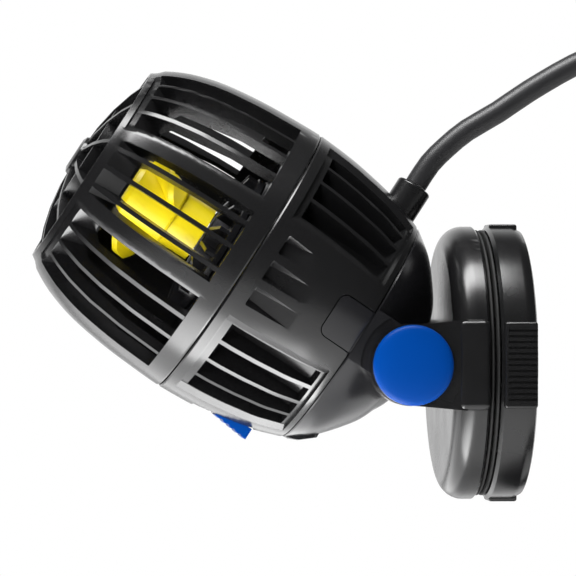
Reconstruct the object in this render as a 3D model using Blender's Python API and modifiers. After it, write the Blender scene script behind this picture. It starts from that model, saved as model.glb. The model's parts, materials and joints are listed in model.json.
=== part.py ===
"""Wave maker pump on a two-disc magnet mount: a tilting, slotted barrel with a propeller inside.

World frame: +X runs from the pump through the tank's glass to the dry side, +Z is up, and the
origin is the middle of the face that rests on the wet side of the glass.  Helpers take
millimetres.  The pump is modelled round its own axis (local +Z, towards the outlet), with a
station u measured backwards from the front rim, and hangs on one empty at the tilt pivot.
"""
import bpy
import bmesh
from math import cos, sin, pi, radians, sqrt
from mathutils import Matrix, Vector

MM = 0.001
GAP = 0.3

# Driving sizes, in millimetres and degrees
PITCH = 33.0                      # how far the outlet points up at rest
PIVOT_X = -23.5                   # tilt pivot, ahead of the glass
RIM_AHEAD = 104.0                 # front rim plane, ahead of the pivot
FLOOR_Z = -95.0                   # the surface that the coiled lead lies on
DISC_R = 39.0                     # magnet discs
CABLE_R = 3.25
STEPS = 40                        # faces round a turned piece
LEAD_IN_R = 29.6                  # bore that the outlet guard sits in

# Barrel outline: station u behind the rim, outer radius
FRONT_OUTLINE = [(0.0, 30.8), (3.1, 33.8), (12.3, 37.8), (19.7, 39.8), (31.0, 41.4), (42.8, 42.2),
                 (50.0, 42.5)]
REAR_OUTLINE = [(50.4, 42.5), (60.2, 41.9), (67.3, 41.0), (77.0, 39.2), (87.6, 35.65)]
DOME_OUTLINE = [(87.9, 35.5), (95.5, 29.9), (102.7, 21.1), (105.5, 15.4), (107.5, 11.4),
                (109.4, 4.0), (109.8, 0.0)]
CAGE_WALL = 5.0
FIN = 1.3                         # fin thickness
CUT_R = (20.0, 52.0)              # slot cutters, well inside and outside the wall

# Slot edges: angle from the near side, half thickness of the bar on that edge
FRONT_MID = [(-20.0, 2.4), (-10.4, FIN / 2), (0.0, FIN / 2), (10.4, FIN / 2), (20.0, 2.4)]
FRONT_SIDE = [(20.0, 2.4), (34.5, FIN / 2), (46.3, FIN / 2), (58.3, FIN / 2), (69.5, 0.0)]
REAR_SIDE = [(24.0, 0.0), (35.0, FIN / 2), (46.0, FIN / 2), (57.0, FIN / 2), (69.0, 0.0)]
FRONT_SLOT_U = (2.6, 44.0)
REAR_SLOT_U = (56.0, 84.0)

TONGUE_HALF = 6.5                 # rear shell's tongue in the rear cage's notch
TONGUE_U = 77.0
POCKET_U = 55.5                   # front edge of the blind grip pockets
POCKETS = ((11.4, 9.0), (0.0, 13.0), (-11.4, 14.5))      # angle, length
CHEEK_R = 36.4                    # outside of the cheeks that carry the pivot
VANES = 12
BLADES = 3
RIBS = 18
GLAND_U = 81.0
LATCH_U = (66.5, 79.0)

# Motor
WELL_R = 10.8
CAN_R = 24.0
CAN_U = (44.6, 84.0)
COILS = 6

# Mount
WET_X = (-11.2, -1.6)
DRY_X = (1.6, 12.0)
ARM_Y = (36.5, 39.5)
ARM_HALF = 12.8                   # half height of the fork arm where it meets the disc
ARM_END_R = 11.3
CAP_R = 11.2
BOLT_HOLE_R = 2.6
MAGNET_R = 31.5
COVER_R = 32.6
RECESS_R = 33.0
GRIP_RIBS = 7
GRIP_PITCH = 3.2

# Lead: the free stretch's own points, then a coil
CABLE_ROUTE = [(-17.8, 0, 51.0), (-13.8, 0, 57.0), (-9.0, 0, 61.8), (-3.1, 0, 66.6),
               (5.9, 0, 71.9), (14.8, 0, 77.9), (27.8, 0, 85.4), (38.5, 0, 89.6), (49.5, -1, 90.2),
               (60, -4, 85.5), (68, -9, 76), (73.5, -14.5, 62), (76.5, -20, 44), (78, -25, 22),
               (78.5, -30, 0), (78, -34, -20), (75.5, -38, -38), (70.5, -40.5, -53),
               (62.5, -41.5, -64.5), (53, -41.6, -71.0)]
COIL_CENTRE = (55.0, 0.0)
COIL_R = 35.0
COIL_HALF = 9.75
END_R = 33.0                      # the lead's last stretch lies on the coil at this radius
CONNECTOR_R = 7.0


def clear_scene():
    """Remove whatever the file opened with."""
    for obj in list(bpy.data.objects):
        bpy.data.objects.remove(obj, do_unlink=True)


def collection(name):
    """A new collection in the scene."""
    group = bpy.data.collections.new(name)
    bpy.context.scene.collection.children.link(group)
    return group


def material(name, colour, roughness, metallic=0.0):
    """One Principled material."""
    mat = bpy.data.materials.new(name)
    mat.use_nodes = True
    shader = mat.node_tree.nodes["Principled BSDF"]
    shader.inputs["Base Color"].default_value = (*colour, 1.0)
    shader.inputs["Roughness"].default_value = roughness
    shader.inputs["Metallic"].default_value = metallic
    return mat


LOOKS = {"shell": ((0.012, 0.012, 0.013), 0.38, 0.0), "gloss": ((0.006, 0.006, 0.007), 0.18, 0.0),
         "blue": ((0.0, 0.07, 0.42), 0.3, 0.0), "yellow": ((0.85, 0.68, 0.01), 0.35, 0.0),
         "rubber": ((0.01, 0.01, 0.01), 0.75, 0.0), "steel": ((0.6, 0.6, 0.6), 0.3, 1.0),
         "ferrite": ((0.05, 0.05, 0.05), 0.5, 0.6), "ceramic": ((0.85, 0.84, 0.8), 0.3, 0.0),
         "copper": ((0.7, 0.3, 0.12), 0.3, 1.0), "board": ((0.02, 0.18, 0.05), 0.45, 0.0)}


def place(obj, look, parent=None, group=None, where=(0, 0, 0), turn=None):
    """Link an object, give it its own material, and put it on its parent."""
    (group or PARTS).objects.link(obj)
    if look:
        obj.data.materials.append(material(obj.name + "_material", *LOOKS[look]))
    obj.parent = parent
    obj.matrix_local = Matrix.Translation(Vector(where) * MM) @ (turn or Matrix())
    return obj


def mesh_object(name, bm):
    """An object from a bmesh that was built in millimetres."""
    bmesh.ops.scale(bm, vec=(MM, MM, MM), verts=bm.verts)
    mesh = bpy.data.meshes.new(name)
    bm.to_mesh(mesh)
    bm.free()
    return bpy.data.objects.new(name, mesh)


def turned(name, profile, look=None, steps=STEPS, **where):
    """A turned solid: (radius, height) points down the outer side, then back up the bore."""
    mesh = bpy.data.meshes.new(name)
    points = [(r * MM, 0, z * MM) for r, z in profile]
    count = len(points)
    on_axis = profile[0][0] == 0 and profile[-1][0] == 0
    edges = [(i, i + 1) for i in range(count - 1)] + ([] if on_axis else [(count - 1, 0)])
    mesh.from_pydata(points, edges, [])
    obj = place(bpy.data.objects.new(name, mesh), look, **where)
    screw = obj.modifiers.new("Screw", "SCREW")
    screw.steps = screw.render_steps = steps
    screw.use_merge_vertices = True
    screw.merge_threshold = 0.00001
    screw.use_smooth_shade = True
    return obj


def cylinder(name, radius, low, high, look=None, bore=0.0, steps=24, **where):
    """A cylinder or ring between two heights."""
    if bore:
        profile = [(radius, high), (radius, low), (bore, low), (bore, high)]
    else:
        profile = [(0, high), (radius, high), (radius, low), (0, low)]
    return turned(name, profile, look, steps, **where)


def block(name, low, high, **where):
    """A box between two corners."""
    bm = bmesh.new()
    bmesh.ops.create_cube(bm, size=1)
    size = [b - a for a, b in zip(low, high)]
    bmesh.ops.scale(bm, vec=size, verts=bm.verts)
    bmesh.ops.translate(bm, vec=[(a + b) / 2 for a, b in zip(low, high)], verts=bm.verts)
    return place(mesh_object(name, bm), None, **where)


def boolean(obj, tool, operation="DIFFERENCE"):
    """Cut or join with an object that then stays out of the render."""
    mod = obj.modifiers.new(tool.name, "BOOLEAN")
    mod.operation = operation
    mod.object = tool
    tool.hide_render = True
    tool.display_type = "WIRE"
    return obj


def near_dir(angle):
    """Unit vector across the pump axis, by its angle up from the near side (-Y)."""
    return Vector((sin(radians(angle)), -cos(radians(angle)), 0))


def wedge_cells(bm, edges, r_in, r_out, z_low, z_high):
    """Prisms that fill the gaps between neighbouring radial bars of even thickness."""
    for (a0, half0), (a1, half1) in zip(edges, edges[1:]):
        made = bmesh.ops.create_cube(bm, size=1)["verts"]
        for v in made:
            angle, half, side = (a0, half0, 1) if v.co.y < 0 else (a1, half1, -1)
            radius = r_in if v.co.x < 0 else r_out
            across = near_dir(angle + 90) * half * side
            v.co = near_dir(angle) * radius + across + Vector((0, 0, z_low if v.co.z < 0 else z_high))


def slot_cutter(name, panels, u_span):
    """All the slots of a cage as one cutter: a panel on one side is mirrored to the others."""
    bm = bmesh.new()
    for edges in panels:
        flips = (1,) if edges[0][0] < 0 else (1, -1)
        for flip in flips:
            for far in (0, 180):
                bars = sorted((flip * angle + far, half) for angle, half in edges)
                wedge_cells(bm, bars, *CUT_R, z_of(u_span[1]), z_of(u_span[0]))
    bmesh.ops.recalc_face_normals(bm, faces=bm.faces)
    return place(mesh_object(name, bm), None, PUMP, CUTTERS)


def z_of(u):
    """Local height of a station behind the rim."""
    return RIM_AHEAD - u


def shell_profile(outline, wall, lead=0.0):
    """Outer side down, then the bore back up, as one closed outline."""
    outer = [(r, z_of(u)) for u, r in outline]
    inner = [(max(r - wall, lead), z_of(u)) for u, r in reversed(outline)]
    return outer + inner


# ---------------------------------------------------------------- barrel

def make_front_cage():
    """Slotted front half of the barrel."""
    profile = shell_profile(FRONT_OUTLINE, CAGE_WALL, LEAD_IN_R)
    cage = turned("front_cage", profile, "shell", parent=PUMP)
    boolean(cage, slot_cutter("front_slots", [FRONT_MID, FRONT_SIDE], FRONT_SLOT_U))


def make_front_guard():
    """Domed grille in the outlet: a ring, a hub and deep radial vanes."""
    ring = [(29.2, z_of(0.4)), (29.2, z_of(4.0)), (27.4, z_of(4.0)), (27.4, z_of(0.4))]
    guard = turned("front_guard", ring, "shell", parent=PUMP)
    hub = turned("guard_hub", [(0, z_of(-5.7)), (5.2, z_of(-5.7)), (6.2, z_of(-4.7)),
                               (6.2, z_of(2.9)), (0, z_of(2.9))], None, 24, parent=PUMP, group=CUTTERS)
    middle = [(17.6, z_of(-2.2)), (17.6, z_of(1.5)), (16.4, z_of(1.5)), (16.4, z_of(-2.4))]
    middle = turned("guard_middle", middle, None, 36, parent=PUMP, group=CUTTERS)
    bm = bmesh.new()
    for i in range(VANES):
        made = bmesh.ops.create_cube(bm, size=1)["verts"]
        for v in made:
            radius = 3.0 if v.co.x < 0 else 28.2
            front = -4.6 if v.co.x < 0 else 0.8
            side = 0.6 if v.co.y > 0 else -0.6
            v.co = Vector((radius, side, z_of(1.6) if v.co.z < 0 else z_of(front)))
        bmesh.ops.rotate(bm, matrix=Matrix.Rotation(2 * pi * (i + 0.5) / VANES, 3, "Z"),
                         verts=made)
    vanes = place(mesh_object("guard_vanes", bm), None, PUMP, CUTTERS)
    boolean(hub, vanes, "UNION")
    vanes.modifiers.clear()
    for tool in (hub, middle):
        boolean(guard, tool, "UNION")


def make_shroud():
    """Tapered inlet ring inside the front cage."""
    profile = [(28.9, z_of(4.6)), (28.9, z_of(5.6)), (24.6, z_of(11.5)), (23.2, z_of(11.5)),
               (27.2, z_of(5.0)), (27.2, z_of(4.6))]
    turned("shroud_ring", profile, "shell", parent=PUMP)


def pocket_cutter():
    """Blind grip pockets on both sides, deepest at their front edge."""
    bm = bmesh.new()
    for far in (False, True):
        for angle, length in POCKETS:
            made = bmesh.ops.create_cube(bm, size=1)["verts"]
            for v in made:
                floor = 40.9 if v.co.z > 0 else 42.0
                radius = floor if v.co.x < 0 else 48.0
                u = POCKET_U if v.co.z > 0 else POCKET_U + length
                v.co = Vector((radius, 2.85 if v.co.y > 0 else -2.85, z_of(u)))
            spin = 180 - angle if far else angle
            bmesh.ops.rotate(bm, matrix=Matrix.Rotation(radians(spin - 90), 3, "Z"), verts=made)
    return place(mesh_object("pocket_cutter", bm), None, PUMP, CUTTERS)


def make_rear_cage():
    """Slotted rear half of the barrel, with its pockets, notches, lead hole and latch bay."""
    cage = turned("rear_cage", shell_profile(REAR_OUTLINE, CAGE_WALL), "shell", parent=PUMP)
    boolean(cage, slot_cutter("rear_slots", [REAR_SIDE], REAR_SLOT_U))
    boolean(cage, pocket_cutter())
    half = TONGUE_HALF + GAP
    notch = block("notch_cutter", (-half, -50, z_of(90)), (half, 50, z_of(TONGUE_U - GAP)),
                  parent=PUMP, group=CUTTERS)
    boolean(cage, notch)
    gland_hole = cylinder("gland_hole", 5.5, 30, 50, parent=PUMP, group=CUTTERS, steps=24,
                          where=(0, 0, z_of(GLAND_U)), turn=Matrix.Rotation(pi / 2, 4, "Y"))
    boolean(cage, gland_hole)
    low, high = LATCH_U
    boolean(cage, block("latch_cutter", (-46, -6.3, z_of(high + 1.0)), (-38.0, 6.3, z_of(low - 5.5)),
                        parent=PUMP, group=CUTTERS))


def make_latch():
    """Sprung release slide on the belly of the rear cage: a wedge that deepens rearwards."""
    low, high = LATCH_U
    bm = bmesh.new()
    for v in bmesh.ops.create_cube(bm, size=1)["verts"]:
        rear = v.co.z < 0
        outer = -42.0 if rear else -40.8
        v.co = Vector((outer if v.co.x < 0 else -38.5, 6.0 if v.co.y > 0 else -6.0,
                       z_of(high) if rear else z_of(low + 1.5)))
    latch = place(mesh_object("release_latch", bm), "blue", PUMP)
    ribs = bmesh.new()
    for i in range(3):
        cut = bmesh.ops.create_cube(ribs, size=1)["verts"]
        bmesh.ops.scale(ribs, vec=(2.0, 14, 1.2), verts=cut)
        bmesh.ops.translate(ribs, vec=(-42.1 + 0.35 * i, 0, z_of(high - 8.1 + 2.6 * i)), verts=cut)
    boolean(latch, place(mesh_object("latch_ribs", ribs), None, PUMP, CUTTERS))
    spring_route = []
    turns, points = 4, 8
    for i in range(turns * points + 1):
        angle = 2 * pi * i / points
        spring_route.append((-39.9 + 0.9 * cos(angle), 0.9 * sin(angle),
                             z_of(low + 1.1) + 6.0 * i / (turns * points)))
    tube("latch_spring", spring_route, 0.25, "steel", parent=PUMP, ring=0)


# ---------------------------------------------------------------- motor and propeller

def make_propeller():
    """Hub with three broad round-tipped blades."""
    hub = [(3.0, z_of(12.0)), (8.2, z_of(12.0)), (10.0, z_of(14.0)), (10.0, z_of(27.0)),
           (8.2, z_of(28.0)), (8.2, z_of(37.0)), (1.9, z_of(37.0)), (1.9, z_of(12.0))]
    propeller = turned("propeller", hub, "yellow", 36, parent=PUMP)
    for i in range(BLADES):
        bm = bmesh.new()
        bmesh.ops.create_grid(bm, x_segments=6, y_segments=6, size=1)
        for v in bm.verts:
            out, chord = (v.co.x + 1) / 2, v.co.y
            radius = 8.6 + 9.0 * out
            half = 9.6 * sqrt(max(0.12, 1 - 0.92 * out ** 2.6))
            pitch = radians(48 - 16 * out)
            swing = chord * half * cos(pitch)
            v.co = Vector((radius * cos(swing / 16), radius * sin(swing / 16),
                           z_of(20.0) + chord * half * sin(pitch) * 0.82))
        bmesh.ops.rotate(bm, matrix=Matrix.Rotation(radians(120 * i + 64), 3, "Z"), verts=bm.verts)
        blade = place(mesh_object("blade_%d" % (i + 1), bm), None, PUMP, CUTTERS)
        skin = blade.modifiers.new("Solidify", "SOLIDIFY")
        skin.thickness = 1.7 * MM
        skin.offset = 0
        boolean(propeller, blade, "UNION")


def make_rotor():
    """Magnet and sleeve on the ceramic shaft, its two bushes and the end cushion."""
    cylinder("rotor_magnet", 9.4, z_of(66.0), z_of(38.0), "ferrite", 1.9, parent=PUMP)
    cylinder("rotor_sleeve", 10.3, z_of(65.5), z_of(38.5), "ferrite", 9.7, parent=PUMP)
    cylinder("shaft", 1.55, z_of(69.3), z_of(7.0), "ceramic", 0, 20, parent=PUMP)
    cylinder("front_bush", 3.4, z_of(11.6), z_of(9.6), "ceramic", 1.9, 20, parent=PUMP)
    cylinder("front_cushion", 3.0, z_of(9.2), z_of(3.2), "rubber", 1.9, 20, parent=PUMP)
    cylinder("rear_bush", 4.6, z_of(68.6), z_of(66.5), "ceramic", 1.9, 20, parent=PUMP)


def make_motor():
    """Sealed can, ribbed flange, stator with its coils, circuit board and seal."""
    u0, u1 = CAN_U
    can = [(0, z_of(70.0)), (WELL_R, z_of(70.0)), (WELL_R, z_of(u0)), (CAN_R, z_of(u0)),
           (CAN_R, z_of(u1)), (CAN_R - 1.4, z_of(u1)), (CAN_R - 1.4, z_of(u0 + 2)),
           (WELL_R + 1.0, z_of(u0 + 2)), (WELL_R + 1.0, z_of(71.4)), (0, z_of(71.4))]
    turned("motor_can", can, "gloss", parent=PUMP)
    flange = cylinder("motor_flange", 22.6, z_of(44.2), z_of(41.6), "gloss", 12.2, 48, parent=PUMP)
    bm = bmesh.new()
    for i in range(RIBS):
        made = bmesh.ops.create_cube(bm, size=1)["verts"]
        bmesh.ops.scale(bm, vec=(9.2, 1.1, 5.0), verts=made)
        bmesh.ops.translate(bm, vec=(17.4, 0, z_of(39.8)), verts=made)
        bmesh.ops.rotate(bm, matrix=Matrix.Rotation(2 * pi * i / RIBS, 3, "Z"), verts=made)
    boolean(flange, place(mesh_object("flange_ribs", bm), None, PUMP, CUTTERS), "UNION")
    core = cylinder("stator_core", 22.2, z_of(66), z_of(49), "steel", 12.2, 48, parent=PUMP)
    cells = bmesh.new()
    sector = 360 / COILS
    edges = [(sector * i, 2.2) for i in range(COILS + 1)]
    wedge_cells(cells, edges, 14.6, 19.4, z_of(67), z_of(48))
    bmesh.ops.recalc_face_normals(cells, faces=cells.faces)
    boolean(core, place(mesh_object("coil_pockets", cells), None, PUMP, CUTTERS))
    for i in range(COILS):
        wound = bmesh.new()
        edges = [(sector * i, 2.6), (sector * (i + 1), 2.6)]
        wedge_cells(wound, edges, 15.2, 18.4, z_of(66), z_of(49))
        bmesh.ops.recalc_face_normals(wound, faces=wound.faces)
        place(mesh_object("stator_coil_%d" % (i + 1), wound), "copper", PUMP)
    cylinder("circuit_board", 20.5, z_of(75.6), z_of(74.0), "board", 2.0, 36, parent=PUMP)
    seal_ring("o_ring", 23.3, 0.9, z_of(85.2))


def seal_ring(name, major, minor, z):
    """A rubber ring of six-sided section round the pump's axis."""
    profile = [(major + minor * cos(pi * i / 3), z - minor * sin(pi * i / 3)) for i in range(6)]
    turned(name, profile, "rubber", 24, parent=PUMP)


def make_rear_shell():
    """Domed end of the barrel, with its sealing skirt, side cheeks and the two tongues."""
    outer = [(r, z_of(u)) for u, r in DOME_OUTLINE]
    inner = [(0, z_of(107.2)), (9.5, z_of(105.4)), (18.8, z_of(101.0)), (24.4, z_of(95.4)),
             (24.4, z_of(79.0)), (26.6, z_of(79.0)), (26.6, z_of(87.9))]
    shell = turned("rear_shell", inner + outer, "gloss", parent=PUMP)
    for side, name in ((-1, "near"), (1, "far")):
        boolean(shell, cheek(name, side), "UNION")
        boolean(shell, tongue(name, side), "UNION")
        boolean(shell, across("bolt_hole_" + name, BOLT_HOLE_R, 20, side * 25.0, side * 38.0))
    lug = block("stop_lug", (-35.6, -5, z_of(96.0)), (-26.0, 5, z_of(88.3)), parent=PUMP, group=CUTTERS)
    skin = [(0, z_of(88.0)), (35.8, z_of(88.0)), (34.1, z_of(92.0)), (30.3, z_of(96.5)), (0, z_of(96.5))]
    boolean(lug, turned("lug_skin", skin, parent=PUMP, group=CUTTERS), "INTERSECT")
    boolean(shell, lug, "UNION")


def cheek(name, side):
    """Boss on the dome that meets the fork arm, with a shallow round recess for the arm's end."""
    low, high = sorted((side * 26.0, side * 36.6))
    body = block("cheek_" + name, (-8.0, low, z_of(102)), (8.0, high, z_of(88.0)),
                 parent=PUMP, group=CUTTERS)
    boolean(body, across("cheek_end_" + name, 11.4, 24, low, high), "UNION")
    boolean(body, cylinder("cheek_round_" + name, CHEEK_R, z_of(118), z_of(86), steps=STEPS,
                           parent=PUMP, group=CUTTERS), "INTERSECT")
    boolean(body, across("cheek_pocket_" + name, 14.2, 48, side * 34.9, side * 40.0))
    return body


def across(name, radius, steps, start, end):
    """A cylinder along the tilt axis, between two places across the pump."""
    return cylinder(name, radius, min(start, end), max(start, end), steps=steps, parent=PUMP,
                    group=CUTTERS, turn=Matrix.Rotation(-pi / 2, 4, "X"))


def tongue(name, side):
    """Rounded tab that lies flush in the rear cage's notch."""
    bm = bmesh.new()
    for v in bmesh.ops.create_cube(bm, size=1)["verts"]:
        u = TONGUE_U if v.co.z > 0 else 91.0
        radius = 39.0 if v.co.z > 0 else 35.2
        depth = radius if v.co.y > 0 else 33.0
        v.co = Vector((TONGUE_HALF if v.co.x > 0 else -TONGUE_HALF, side * depth, z_of(u)))
    bmesh.ops.recalc_face_normals(bm, faces=bm.faces)
    return place(mesh_object("tongue_" + name, bm), None, PUMP, CUTTERS)


def make_gland():
    """Collar that the lead leaves through, standing radially out of the motor housing."""
    profile = [(0, 45.5), (4.4, 45.5), (5.15, 44.8), (5.15, 28.0), (4.6, 26.9), (0, 26.9)]
    turned("cable_gland", profile, "shell", 28, parent=PUMP, where=(0, 0, z_of(GLAND_U)),
           turn=Matrix.Rotation(pi / 2, 4, "Y"))


# ---------------------------------------------------------------- magnet mount

TO_X = Matrix.Rotation(pi / 2, 4, "Y")      # turns a local height into world +X


def side_cutter(name, radius, low, high, steps=32):
    """A cylinder along the tilt axis that stays with the mount."""
    return cylinder(name, radius, low, high, steps=steps, group=CUTTERS,
                    turn=Matrix.Rotation(-pi / 2, 4, "X"), where=(PIVOT_X, 0, 0))


def arm_plate(name, root_x, low, high):
    """Fork arm that narrows from the disc to the pivot."""
    bm = bmesh.new()
    for v in bmesh.ops.create_cube(bm, size=1)["verts"]:
        half = ARM_END_R if v.co.x < 0 else ARM_HALF
        v.co = Vector((PIVOT_X if v.co.x < 0 else root_x, low if v.co.y < 0 else high,
                       half if v.co.z > 0 else -half))
    return place(mesh_object(name, bm), None, None, CUTTERS)


def make_wet_side():
    """Wet-side magnet housing with its fork arms, its magnet, back cover and pad."""
    x0, x1 = WET_X
    profile = [(0, x1 - 1.6), (RECESS_R, x1 - 1.6), (RECESS_R, x1), (DISC_R - 0.6, x1), (DISC_R, x1 - 0.8),
               (DISC_R, x0 + 4.2), (DISC_R - 0.9, x0 + 1.7), (DISC_R - 2.4, x0 + 0.4),
               (DISC_R - 3.6, x0), (0, x0)]
    housing = turned("wet_housing", profile, "shell", turn=TO_X)
    pocket = cylinder("wet_pocket", RECESS_R, x1 - 7.2, x1 + 2, group=CUTTERS, turn=TO_X, steps=48)
    boolean(housing, pocket)
    for side, name in ((-1, "near"), (1, "far")):
        low, high = sorted((side * ARM_Y[0], side * ARM_Y[1]))
        arm = arm_plate("arm_" + name, x0 + 4, low, high)
        boolean(arm, side_cutter("arm_end_" + name, ARM_END_R, low, high), "UNION")
        b_low, b_high = sorted((side * 36.0, side * 39.7))
        base = block("side_block_" + name, (x0 + 0.6, b_low, -12.0), (x1, b_high, 12.0), group=CUTTERS)
        boolean(arm, base, "UNION")
        boolean(housing, arm, "UNION")
        boolean(housing, side_cutter("arm_hole_" + name, BOLT_HOLE_R, *sorted((side * 30, side * 45)), 20))
    cylinder("wet_magnet", MAGNET_R, x1 - 6.9, x1 - 2.0, "ferrite", 0, 36, turn=TO_X)
    cylinder("wet_cover", COVER_R, x1 - 1.7, x1 - 0.2, "shell", 0, 48, turn=TO_X)
    cylinder("wet_pad", DISC_R - 1.0, x1 + GAP, 0.0 - GAP, "rubber", 0, 48, turn=TO_X)


def make_dry_side():
    """Dry-side magnet with two ribbed grips on its edge."""
    x0, x1 = DRY_X
    profile = [(0, x1), (DISC_R - 1.6, x1), (DISC_R, x1 - 1.6), (DISC_R, x0 + 0.8), (DISC_R - 0.8, x0),
               (RECESS_R, x0), (RECESS_R, x0 + 7.0), (0, x0 + 7.0)]
    housing = turned("dry_housing", profile, "shell", turn=TO_X)
    for side, name in ((-1, "near"), (1, "far")):
        low, high = sorted((side * 37.0, side * 39.6))
        grip = block("grip_" + name, (x0 + 0.6, low, -12.0), (x1 - 0.4, high, 12.0), group=CUTTERS)
        bm = bmesh.new()
        for i in range(GRIP_RIBS):
            made = bmesh.ops.create_cube(bm, size=1)["verts"]
            bmesh.ops.scale(bm, vec=(12, 0.9, 1.3), verts=made)
            height = GRIP_PITCH * (i - (GRIP_RIBS - 1) / 2)
            bmesh.ops.translate(bm, vec=((x0 + x1) / 2 + 1, side * 39.6, height), verts=made)
        boolean(grip, place(mesh_object("grip_grooves_" + name, bm), None, None, CUTTERS))
        boolean(housing, grip, "UNION")
    cylinder("dry_magnet", MAGNET_R, x0 + 1.9, x0 + 6.6, "ferrite", 0, 36, turn=TO_X)
    cylinder("dry_cover", COVER_R, x0 + 0.2, x0 + 1.6, "shell", 0, 48, turn=TO_X)
    cylinder("dry_pad", DISC_R - 1.0, GAP, x0 - GAP, "rubber", 0, 48, turn=TO_X)


def make_pivots():
    """Bolt, washer, threaded insert and blue cap on each side of the fork."""
    for side, name in ((-1, "near"), (1, "far")):
        turn = Matrix.Rotation(-side * pi / 2, 4, "X")
        at = (PIVOT_X, 0, 0)
        bolt = [(0, 41.6), (4.2, 41.6), (4.2, 39.8), (2.2, 39.8), (2.2, 27.4), (0, 27.4)]
        turned("pivot_bolt_" + name, bolt, "steel", 20, turn=turn, where=at)
        cylinder("pivot_washer_" + name, 6.5, 35.2, 36.2, "rubber", 2.6, 24, turn=turn, where=at)
        cap = [(0, 43.4), (7.4, 43.1), (10.4, 42.4), (CAP_R, 41.4), (CAP_R, 39.8), (9.8, 39.8),
               (9.8, 41.9), (0, 41.9)]
        turned("pivot_cap_" + name, cap, "blue", 40, turn=turn, where=at)


# ---------------------------------------------------------------- lead

def smooth_route(route, spacing):
    """Evenly spaced points on a Catmull-Rom curve through the route's own points."""
    pts = [Vector(p) for p in route]
    pts = [pts[0] * 2 - pts[1]] + pts + [pts[-1] * 2 - pts[-2]]
    dense = []
    for a, b, c, d in zip(pts, pts[1:], pts[2:], pts[3:]):
        for k in range(12):
            t = k / 12
            dense.append(0.5 * (2 * b + (c - a) * t + (2 * a - 5 * b + 4 * c - d) * t * t
                                + (3 * b - a - 3 * c + d) * t ** 3))
    dense.append(pts[-2])
    out, travelled = [dense[0]], 0.0
    for a, b in zip(dense, dense[1:]):
        travelled += (b - a).length
        if travelled >= spacing:
            out.append(b)
            travelled = 0.0
    if (out[-1] - dense[-1]).length > spacing / 3:
        out.append(dense[-1])
    return out


def tube(name, points, radius, look, parent=None, ring=3):
    """A round curve through the points, with closed ends."""
    curve = bpy.data.curves.new(name, "CURVE")
    curve.dimensions = "3D"
    curve.bevel_depth = radius * MM
    curve.bevel_resolution = ring
    curve.use_fill_caps = True
    spline = curve.splines.new("POLY")
    spline.points.add(len(points) - 1)
    for node, point in zip(spline.points, points):
        node.co = (*(Vector(point) * MM), 1)
    return place(bpy.data.objects.new(name, curve), look, parent)


def make_lead():
    """Free stretch, coil, loose end on top of the coil, and the connector."""
    tube("cable_lead", smooth_route(CABLE_ROUTE, 4.2 * CABLE_R), CABLE_R, "rubber")
    cx, cy = COIL_CENTRE
    top = FLOOR_Z + 2 * COIL_HALF
    cylinder("cable_coil", COIL_R + COIL_HALF, FLOOR_Z, top, "rubber", COIL_R - COIL_HALF, 40,
             where=(cx, cy, 0))
    z = top + GAP + CABLE_R
    arc = [(cx + END_R * cos(radians(a)), cy + END_R * sin(radians(a)), z)
           for a in range(214, 125, -12)]
    tube("cable_end", arc, CABLE_R, "rubber")
    last, before = Vector(arc[-1]), Vector(arc[-2])
    heading = (last - before).normalized()
    start = last + heading * GAP
    turn = Vector((0, 0, 1)).rotation_difference(heading).to_matrix().to_4x4()
    body = [(0, 40), (5.6, 40), (5.6, 24), (CONNECTOR_R, 23), (CONNECTOR_R, 12), (5.0, 10), (4.2, 0),
            (0, 0)]
    lift = Vector((0, 0, CONNECTOR_R - CABLE_R + 0.2))
    turned("connector", body, "shell", 24, where=start + lift, turn=turn)
    hollow = COIL_HALF + GAP
    outer = hollow + 1.0
    tie = block("cable_tie", (-outer, -2.25, 0), (outer, 2.25, COIL_HALF + outer),
                where=(cx + COIL_R, cy, FLOOR_Z))
    tie.data.materials.append(material("cable_tie_material", *LOOKS["rubber"]))
    boolean(tie, block("tie_hollow", (-hollow, -6, -10), (hollow, 6, COIL_HALF + hollow),
                       group=CUTTERS, where=(cx + COIL_R, cy, FLOOR_Z)))


def make_pump_empty():
    """The tilt pivot, turned so that its local +Z points out of the outlet."""
    empty = bpy.data.objects.new("pump_pivot", None)
    PARTS.objects.link(empty)
    empty.location = (PIVOT_X * MM, 0, 0)
    empty.rotation_euler = (0, radians(PITCH - 90), 0)
    bpy.context.view_layer.update()
    return empty


clear_scene()
PARTS = collection("wave_maker_pump")
CUTTERS = collection("cutters")
PUMP = make_pump_empty()
make_front_cage()
make_front_guard()
make_shroud()
make_rear_cage()
make_latch()
make_propeller()
make_rotor()
make_motor()
make_rear_shell()
make_gland()
make_wet_side()
make_dry_side()
make_pivots()
make_lead()
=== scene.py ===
"""Looks for the wave maker pump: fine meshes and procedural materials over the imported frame."""
import json
from math import cos, sin, pi, radians, sqrt
import bpy
import bmesh
from mathutils import Matrix, Vector


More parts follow.
